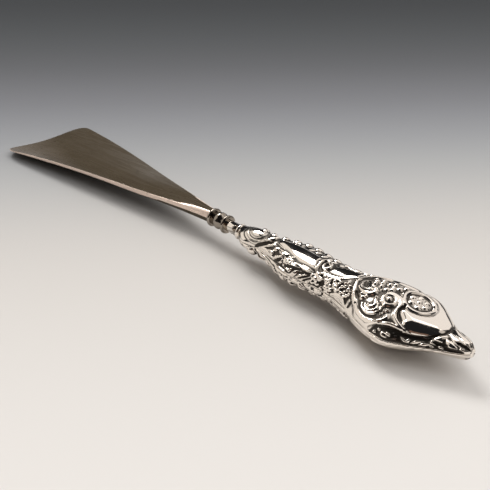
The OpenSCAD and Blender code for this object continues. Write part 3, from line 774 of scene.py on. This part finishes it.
for k in range(PETALS):
    a = 2 * math.pi * k / PETALS
    petal_h = ROSETTE_PLACE[0] + PETAL_RING_MM * math.cos(a)
    petal_deg = ROSETTE_PLACE[1] + PETAL_RING_DEG * math.sin(a)
    dome(petal_h, petal_deg, PETAL_R, PETAL_R, PETAL_HIGH)
dome(*ROSETTE_PLACE, rx=1.05, ry=1.05, high=0.8)

# Small leaves, a ring and a comma leaf in the dark ground below the boss
RING_PLACE = (75.9, 29)
BUDS = [(70.4, 15, 1.1, 0.8), (71.5, 21, 0.7, 0.5), (67.4, 11, 0.6, 0.5), (68.6, 21, 0.5, 0.45),
        (82.6, 14, 0.7, 0.5), (84.6, 22, 0.8, 0.5)]
BUD_HIGH = 0.45
LOWER_LEAVES = [
    ([(77.8, 12), (78.7, 22), (80.3, 30)], 0.5, 0.5, (0.5, 1, 0.4)),
    ([(79.3, 5), (80.3, 14), (81.8, 22)], 0.5, 0.5, (0.5, 1, 0.4)),
    ([(82.0, 30), (82.8, 42), (83.5, 55), (84.2, 69)], 1.2, 0.95, (0.35, 1, 1, 0.7)),
]
hoop(*RING_PLACE, rx=1.1, ry=1.15, half=0.42, high=0.55)
dome(*RING_PLACE, rx=0.5, ry=0.5, high=0.5)
for h, deg, rx, ry in BUDS:
    dome(h, deg, rx, ry, BUD_HIGH)
for points, half, high, swell in LOWER_LEAVES:
    stroke(points, half, high, swell)

# Finial: a bud of lobes that gather at a curled tip
FINIAL_LOBES = [
    ([(84.1, 120), (86.0, 105), (88.4, 92), (90.3, 80)], 1.9, 0.75, (0.8, 1, 1, 0.6)),
    ([(84.2, 88), (86.6, 76), (89.0, 64), (90.6, 54)], 1.25, 0.72, (0.7, 1, 1, 0.5)),
    ([(84.6, 60), (86.4, 46), (88.4, 28)], 1.05, 0.65, (0.6, 1, 0.7)),
    ([(84.4, 150), (87.2, 142), (90.0, 128)], 1.1, 0.5, (0.6, 1, 0.6)),
    ([(89.6, 30), (90.6, 22), (91.4, 40), (91.7, 90)], 0.5, 0.45, (1, 1)),
]
for points, half, high, swell in FINIAL_LOBES:
    stroke(points, half, high, swell)

# Deep cuts where one form passes under the next, black partly with old polish and partly with painted shade,
# and fine rings in the collar
CUTS = [
    ([(9.9, 4), (10.7, 18), (12.2, 32), (14.3, 50), (15.9, 65)], 0.62),
    ([(11.4, 2), (13.5, 2.5), (15.5, 3), (18.0, 6), (20.7, 10), (23.2, 14.5)], 0.3),
    ([(23.8, 15), (27.0, 13), (28.8, 8)], 0.35),
    ([(22.2, 24), (23.2, 29), (24.0, 36)], 0.45),
    ([(17.4, 70), (19.4, 64), (20.2, 64)], 0.35),
    ([(29.2, 31), (30.6, 31), (32.2, 34)], 0.4),
    ([(32.8, 22), (34.4, 29), (36.2, 35)], 0.3),
    ([(33.6, 12), (35.2, 21), (36.6, 30)], 0.3),
    ([(34.6, 5), (35.6, 13), (36.6, 20)], 0.28),
    ([(54.9, 27), (54.7, 18), (54.2, 9)], 0.5),
    ([(54.2, 84), (54.8, 77), (55.8, 71.5)], 0.75),
    ([(54.4, 52), (55.4, 46), (56.8, 42)], 0.35),
    ([(65.0, 41), (66.0, 48), (65.7, 55)], 0.3),
    ([(69.6, 81), (69.4, 74), (69.7, 67), (70.5, 60), (72.2, 53)], 0.35),
    ([(66.0, 5), (67.0, 18), (68.6, 30)], 0.4),
    ([(73.2, 30), (77.4, 33), (81.2, 38)], 0.7),
    ([(66, 3), (72, 3), (78, 3), (84, 3), (88, 4)], 0.5),
    ([(82.4, 36), (84.2, 34), (86.0, 36)], 0.5),
    ([(87.6, 62), (89.2, 57), (90.5, 53), (91.4, 50)], 0.42),
    ([(85.8, 20), (88.2, 16), (90.4, 14)], 0.45),
]
CUT_DEEP, CUT_BLACKENING = 0.34, 1.3
CUT_SHARES, CUT_SWELL = (0, 0.2, 0.8, 1), (0.5, 1, 1, 0.4)
COLLAR_RINGS = [(5.3, 4.05), (4.4, 3.2), (3.5, 2.4), (2.7, 1.75)]
COLLAR_RING_HALF, COLLAR_RING_DEEP, COLLAR_RING_BLACKENING = 0.24, 0.05, 0.6
black = np.zeros_like(relief)
for rx, ry in COLLAR_RINGS:
    groove = round_back(off_ring(*COLLAR_PLACE, rx, ry, COLLAR_RING_HALF))
    relief -= COLLAR_RING_DEEP * groove
    black = np.maximum(black, COLLAR_RING_BLACKENING * groove)
for points, half in CUTS:
    on_flank = points[0][0] < BULB_START
    for line in [points, mirrored(points)] if on_flank else [points]:
        patch, share, gap = near_line(flowing(line), half)
        q = gap / (half * np.interp(share, CUT_SHARES, CUT_SWELL))
        cut = np.minimum(relief[patch], -CUT_DEEP * round_back(q))
        relief[patch] = np.where(q < 1, cut, relief[patch])
        # Black along the cut: old polish together with painted shade
        black[patch] = np.maximum(black[patch], np.clip(CUT_BLACKENING - q, 0, 1))

# Along the seams a plain rim: narrow beside the sprays and broad on one side of the bulb
NEAR_RIM_W, FAR_RIM_W, BROAD_RIM_W = 0.32, 0.45, 2.3
BROAD_RIM_STATIONS, RIM_STATIONS = (50, 57), (9, 12)
RIM_HIGH, RIM_EDGE, RELIEF_EDGE = 0.12, 0.5, 0.4
SEAM_DEEP, SEAM_HALF, STAIN_EDGE = 0.14, 0.2, 0.5
MOUTH_RUN = 1.6
from_seam = np.minimum(across - across[:, :1], across[:, -1:] - across)
far_rim_w = mix(FAR_RIM_W, BROAD_RIM_W, ease(along, *BROAD_RIM_STATIONS))
rim_w = np.where(across < 0, NEAR_RIM_W, far_rim_w)
relief *= ease(from_seam, RELIEF_EDGE * rim_w, rim_w)
relief += RIM_HIGH * (1 - ease(from_seam, RIM_EDGE * rim_w, rim_w)) * ease(along, *RIM_STATIONS)
relief -= SEAM_DEEP * (1 - ease(from_seam, 0, SEAM_HALF))
black *= ease(from_seam, SEAM_HALF, STAIN_EDGE)
relief *= ease(along, 0, MOUTH_RUN)

# A row of small uneven lobes along one seam of the bulb
SEAM_LOBES_FROM, SEAM_LOBES_TO, SEAM_LOBE_PITCH = 63.5, 86, 2.3
SEAM_LOBE_ANGLE, SEAM_LOBE_SWAY = 172, 2
SEAM_LOBE_HALF, SEAM_LOBE_SWELL = 0.7, 0.15
for k, h in enumerate(np.arange(SEAM_LOBES_FROM, SEAM_LOBES_TO, SEAM_LOBE_PITCH)):
    lobe_angle = SEAM_LOBE_ANGLE + SEAM_LOBE_SWAY * (k % 3)
    lobe_half = SEAM_LOBE_HALF + SEAM_LOBE_SWELL * (k % 2)
    dome(h, lobe_angle, rx=1.2, ry=lobe_half, high=0.3, turned_by=15)


def softened(field, reach, passes=2):
    """Each point averaged with its neighbours up to reach steps away."""
    span = 2 * reach + 1
    for _ in range(passes):
        for axis in (0, 1):
            n = field.shape[axis]
            padded = np.take(field, np.clip(np.arange(-reach - 1, n + reach), 0, n - 1), axis)
            total = np.cumsum(padded, axis)
            ahead = np.take(total, np.arange(span, n + span), axis)
            field = (ahead - np.take(total, np.arange(n), axis)) / span
    return field


# Wear softens the relief, and old polish stays where it lies lower than what is round it; the cuts and rings
# add black that is partly old polish and partly painted shade
WEAR = 0.7
HOLLOW_REACH = 5
FLANK_DIRT, BULB_DIRT, SUNK_DIRT, CUT_BLACKENING_SHARE = 2.0, 1.0, 0.45, 0.3
BULB_STATIONS, BULB_ANGLES = (52, 55, 76, 79), (40, 52)
relief = mix(relief, softened(relief, 1, 1), WEAR)
on_bulb = between(along, *BULB_STATIONS) * ease(angle, *BULB_ANGLES)
hollows = np.maximum(softened(relief, HOLLOW_REACH) - relief, 0) * mix(FLANK_DIRT, BULB_DIRT, on_bulb)
recess = hollows + SUNK_DIRT * np.maximum(-relief, 0) + CUT_BLACKENING_SHARE * softened(black, 1, 1)


def half_points(side, rows, turns, inset, raised):
    """Points of one half's outer or inner face; side is 1 for the front half and -1 for the back."""
    a, b = half_w[:rows] - inset, half_t[:rows] - inset
    nx, ny = -np.cos(turns) / a, np.sin(turns) / b
    out = raised / np.hypot(nx, ny)
    y = side * (-a * np.cos(turns) + out * nx)
    z = axis_z + lift[:rows, None] + side * (b * np.sin(turns) + out * ny)
    x = np.repeat(shell_low[0] + station[:rows, None], len(turns), 1)
    return np.stack([x, y, np.clip(z, 0, cad_box[1][2] / MM)], -1).reshape(-1, 3)


# Faces: outside, inside, the two seam edges, the mouth's edge, and the solid metal at the tip
inside_rows = int((shell_len - TIP_METAL) / shell_len * (FACE_ROWS - 1)) + 1
inside_turn = np.radians(np.linspace(0, 180, INSIDE_COLS))
first_in = FACE_ROWS * FACE_COLS
shell_faces = grid_faces(FACE_ROWS, FACE_COLS)
shell_faces += [f[::-1] for f in grid_faces(inside_rows, INSIDE_COLS, first_in)]
for face_col, inside_col, flip in ((0, 0, 1), (FACE_COLS - 1, INSIDE_COLS - 1, -1)):
    face_edge = [i * FACE_COLS + face_col for i in range(inside_rows)]
    inside_edge = [first_in + i * INSIDE_COLS + inside_col for i in range(inside_rows)]
    shell_faces += [f[::flip] for f in strip_faces(inside_edge, face_edge)]
mouth_step = (FACE_COLS - 1) // (INSIDE_COLS - 1)
for k in range(INSIDE_COLS - 1):
    mouth_edge = list(range(k * mouth_step, (k + 1) * mouth_step + 1))
    shell_faces.append(mouth_edge + [first_in + k + 1, first_in + k])
inside_end = first_in + (inside_rows - 1) * INSIDE_COLS
shell_faces.append([inside_end + k for k in range(INSIDE_COLS)])
shell_faces.append([(FACE_ROWS - 1) * FACE_COLS + k for k in range(FACE_COLS - 1, -1, -1)])
shell_faces.append([inside_end, inside_end + INSIDE_COLS - 1]
                   + [i * FACE_COLS + FACE_COLS - 1 for i in range(inside_rows - 1, FACE_ROWS)]
                   + [i * FACE_COLS for i in range(FACE_ROWS - 1, inside_rows - 2, -1)])

# Both halves come from one die, and one side of the back half's bulb is rubbed plainer
SHELL_SHARP_EDGE = 80
RUBBED_PLAIN, PLAIN_ANGLES, PLAIN_STATIONS = 0.85, (95, 130, 158, 167), (50, 58)
plain_side = between(angle, *PLAIN_ANGLES) * ease(along, *PLAIN_STATIONS)
shell_silver = old_silver("shell_silver", True)
for name, node, side in (("front_half", "front_shell", 1), ("back_half", "back_shell", -1)):
    kept = 1 - RUBBED_PLAIN * plain_side * (side < 0)
    outside = half_points(side, FACE_ROWS, turn, 0, relief * kept)
    inside = half_points(side, inside_rows, inside_turn, SHELL_WALL, 0)
    half = add_piece(name, np.concatenate([outside, inside]), shell_faces, SHELL_SHARP_EDGE)
    depth = half.data.attributes.new("recess", "FLOAT", "POINT")
    depths = np.concatenate([recess.ravel(), np.zeros(len(inside))])
    depth.data.foreach_set("value", depths.astype(np.float32))
    half.data.materials.append(shell_silver)
    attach(half, "root")
    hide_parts(node)

# Camera: at the photograph's angle, a little turned about its own line of sight, with a lens that
# gives the photograph's framing. It aims just below the handle, a little beyond the bolster.
CAMERA_AZIMUTH, CAMERA_ELEVATION = math.radians(46.68), math.radians(28.99)
CAMERA_ROLL = math.radians(1.7)
CAMERA_DISTANCE = 337.48
CAMERA_TARGET = Vector((bolster_high[0], 0, axis_z)) + Vector((7.99, 0.07, -4.13))
FOCAL_PX, PHOTO_PX, SENSOR_MM = 1030.1, 490, 36
NEAREST_M = 0.01
back = Vector((math.sin(CAMERA_AZIMUTH) * math.cos(CAMERA_ELEVATION),
               -math.cos(CAMERA_AZIMUTH) * math.cos(CAMERA_ELEVATION), math.sin(CAMERA_ELEVATION)))
right = Vector((math.cos(CAMERA_AZIMUTH), math.sin(CAMERA_AZIMUTH), 0))
up = back.cross(right)
right, up = (math.cos(CAMERA_ROLL) * right + math.sin(CAMERA_ROLL) * up,
             math.cos(CAMERA_ROLL) * up - math.sin(CAMERA_ROLL) * right)
lens = bpy.data.cameras.new("camera")
lens.sensor_width = SENSOR_MM
lens.lens = FOCAL_PX / PHOTO_PX * SENSOR_MM
lens.clip_start = NEAREST_M
camera = bpy.data.objects.new("camera", lens)
camera_place = (CAMERA_TARGET + back * CAMERA_DISTANCE) * MM
camera.matrix_world = Matrix.Translation(camera_place) @ Matrix((right, up, back)).transposed().to_4x4()
bpy.context.scene.collection.objects.link(camera)
bpy.context.scene.camera = camera

# Floor: a matt paper sweep, pale where the object lies and fading to dark grey behind it. The fade is painted
# fall-off of light, put in the colour of the paper along a line on the table.
FLOOR_SIZE = 8.0
FLOOR_FADE_START, FLOOR_FADE_END, FLOOR_FADE_TURN = -0.11, 0.304, math.radians(6.5)
FLOOR_TONES = [
    (0.0, (0.735, 0.715, 0.695)),
    (0.1, (0.695, 0.675, 0.655)),
    (0.2, (0.645, 0.625, 0.603)),
    (0.3, (0.575, 0.556, 0.537)),
    (0.4, (0.43, 0.434, 0.435)),
    (0.5, (0.292, 0.302, 0.32)),
    (0.6, (0.19, 0.195, 0.212)),
    (0.72, (0.108, 0.112, 0.12)),
    (0.86, (0.068, 0.073, 0.078)),
    (1.0, (0.045, 0.048, 0.052)),
]
PAPER_ROUGHNESS, PAPER_GLOSS = 0.9, 0.1
half_floor = FLOOR_SIZE / 2
floor_corners = [(-half_floor, -half_floor, 0), (half_floor, -half_floor, 0),
                 (half_floor, half_floor, 0), (-half_floor, half_floor, 0)]
floor_mesh = bpy.data.meshes.new("floor")
floor_mesh.from_pydata(floor_corners, [], [[0, 1, 2, 3]])
floor = bpy.data.objects.new("floor", floor_mesh)
bpy.context.scene.collection.objects.link(floor)
paper, paper_tree, paper_shader = finish_tree("paper")
fade = paper_tree.nodes.new("ShaderNodeValToRGB")
fade.color_ramp.interpolation = "B_SPLINE"
fade_turn = CAMERA_AZIMUTH + FLOOR_FADE_TURN
away = Vector((-math.sin(fade_turn), math.cos(fade_turn), 0))
target_away = CAMERA_TARGET.dot(away) * MM
# Painted fall-off of light: the paper's colour darkens away from the camera
painted_falloff = toward(paper_tree, away, target_away + FLOOR_FADE_START, target_away + FLOOR_FADE_END)
paper_tree.links.new(painted_falloff, fade.inputs["Fac"])
stops = fade.color_ramp.elements
while len(stops) < len(FLOOR_TONES):
    stops.new(0.5)
for stop, (place_on, tone) in zip(stops, FLOOR_TONES):
    stop.position = place_on
    stop.color = (*tone, 1)
paper_tree.links.new(fade.outputs["Color"], paper_shader.inputs["Base Color"])
paper_shader.inputs["Roughness"].default_value = PAPER_ROUGHNESS
paper_shader.inputs["Specular IOR Level"].default_value = PAPER_GLOSS
floor_mesh.materials.append(paper)

# Light: soft panels round the table in a dark room, and one broad panel high beyond the finial that
# only brightens and leaves no mirror image in the silver. Each has its azimuth and elevation, its
# spans as shares of its distance, its radiance and its colour.
SOFT_PANEL = "soft_panel"
PANELS = [
    (SOFT_PANEL, 10, 58, (1.2, 1.6), 1.12, (1.0, 0.985, 0.97)),
    ("key_panel", 164, 50, (0.44, 0.32), 9.0, (1.0, 0.985, 0.965)),
    ("top_panel", 140, 71, (0.75, 0.3), 0.72, (1.0, 0.96, 0.91)),
    ("back_panel", 101, 38, (0.85, 1.2), 0.68, (1.0, 0.95, 0.91)),
    ("left_panel", 207, 30, (1.25, 1.05), 0.63, (1.0, 0.935, 0.86)),
    ("right_panel", 32, 46, (0.7, 0.85), 0.42, (1.0, 0.93, 0.86)),
    ("near_panel", 298, 15, (0.6, 0.45), 0.13, (1.0, 0.6, 0.42)),
]
PANEL_DISTANCE = 4.0
POWER_FOR_RADIANCE = 4
ROOM_COLOUR = (0.014, 0.014, 0.015, 1)
for name, azimuth, elevation, spans, radiance, colour in PANELS:
    wide, high = (span * PANEL_DISTANCE for span in spans)
    panel = bpy.data.lights.new(name, "AREA")
    panel.shape = "RECTANGLE"
    panel.size, panel.size_y = wide, high
    panel.energy = radiance * POWER_FOR_RADIANCE * wide * high
    panel.color = colour
    hung = bpy.data.objects.new(name, panel)
    around, above = math.radians(azimuth), math.radians(elevation)
    level = math.cos(above)
    direction = Vector((level * math.cos(around), level * math.sin(around), math.sin(above)))
    hung.location = PANEL_DISTANCE * direction
    hung.rotation_euler = hung.location.to_track_quat("Z", "Y").to_euler()
    hung.visible_glossy = name != SOFT_PANEL
    bpy.context.scene.collection.objects.link(hung)
room = bpy.data.worlds.new("room")
room.use_nodes = True
room.node_tree.nodes["Background"].inputs["Color"].default_value = ROOM_COLOUR
bpy.context.scene.world = room
bpy.context.scene.view_settings.view_transform = "Standard"
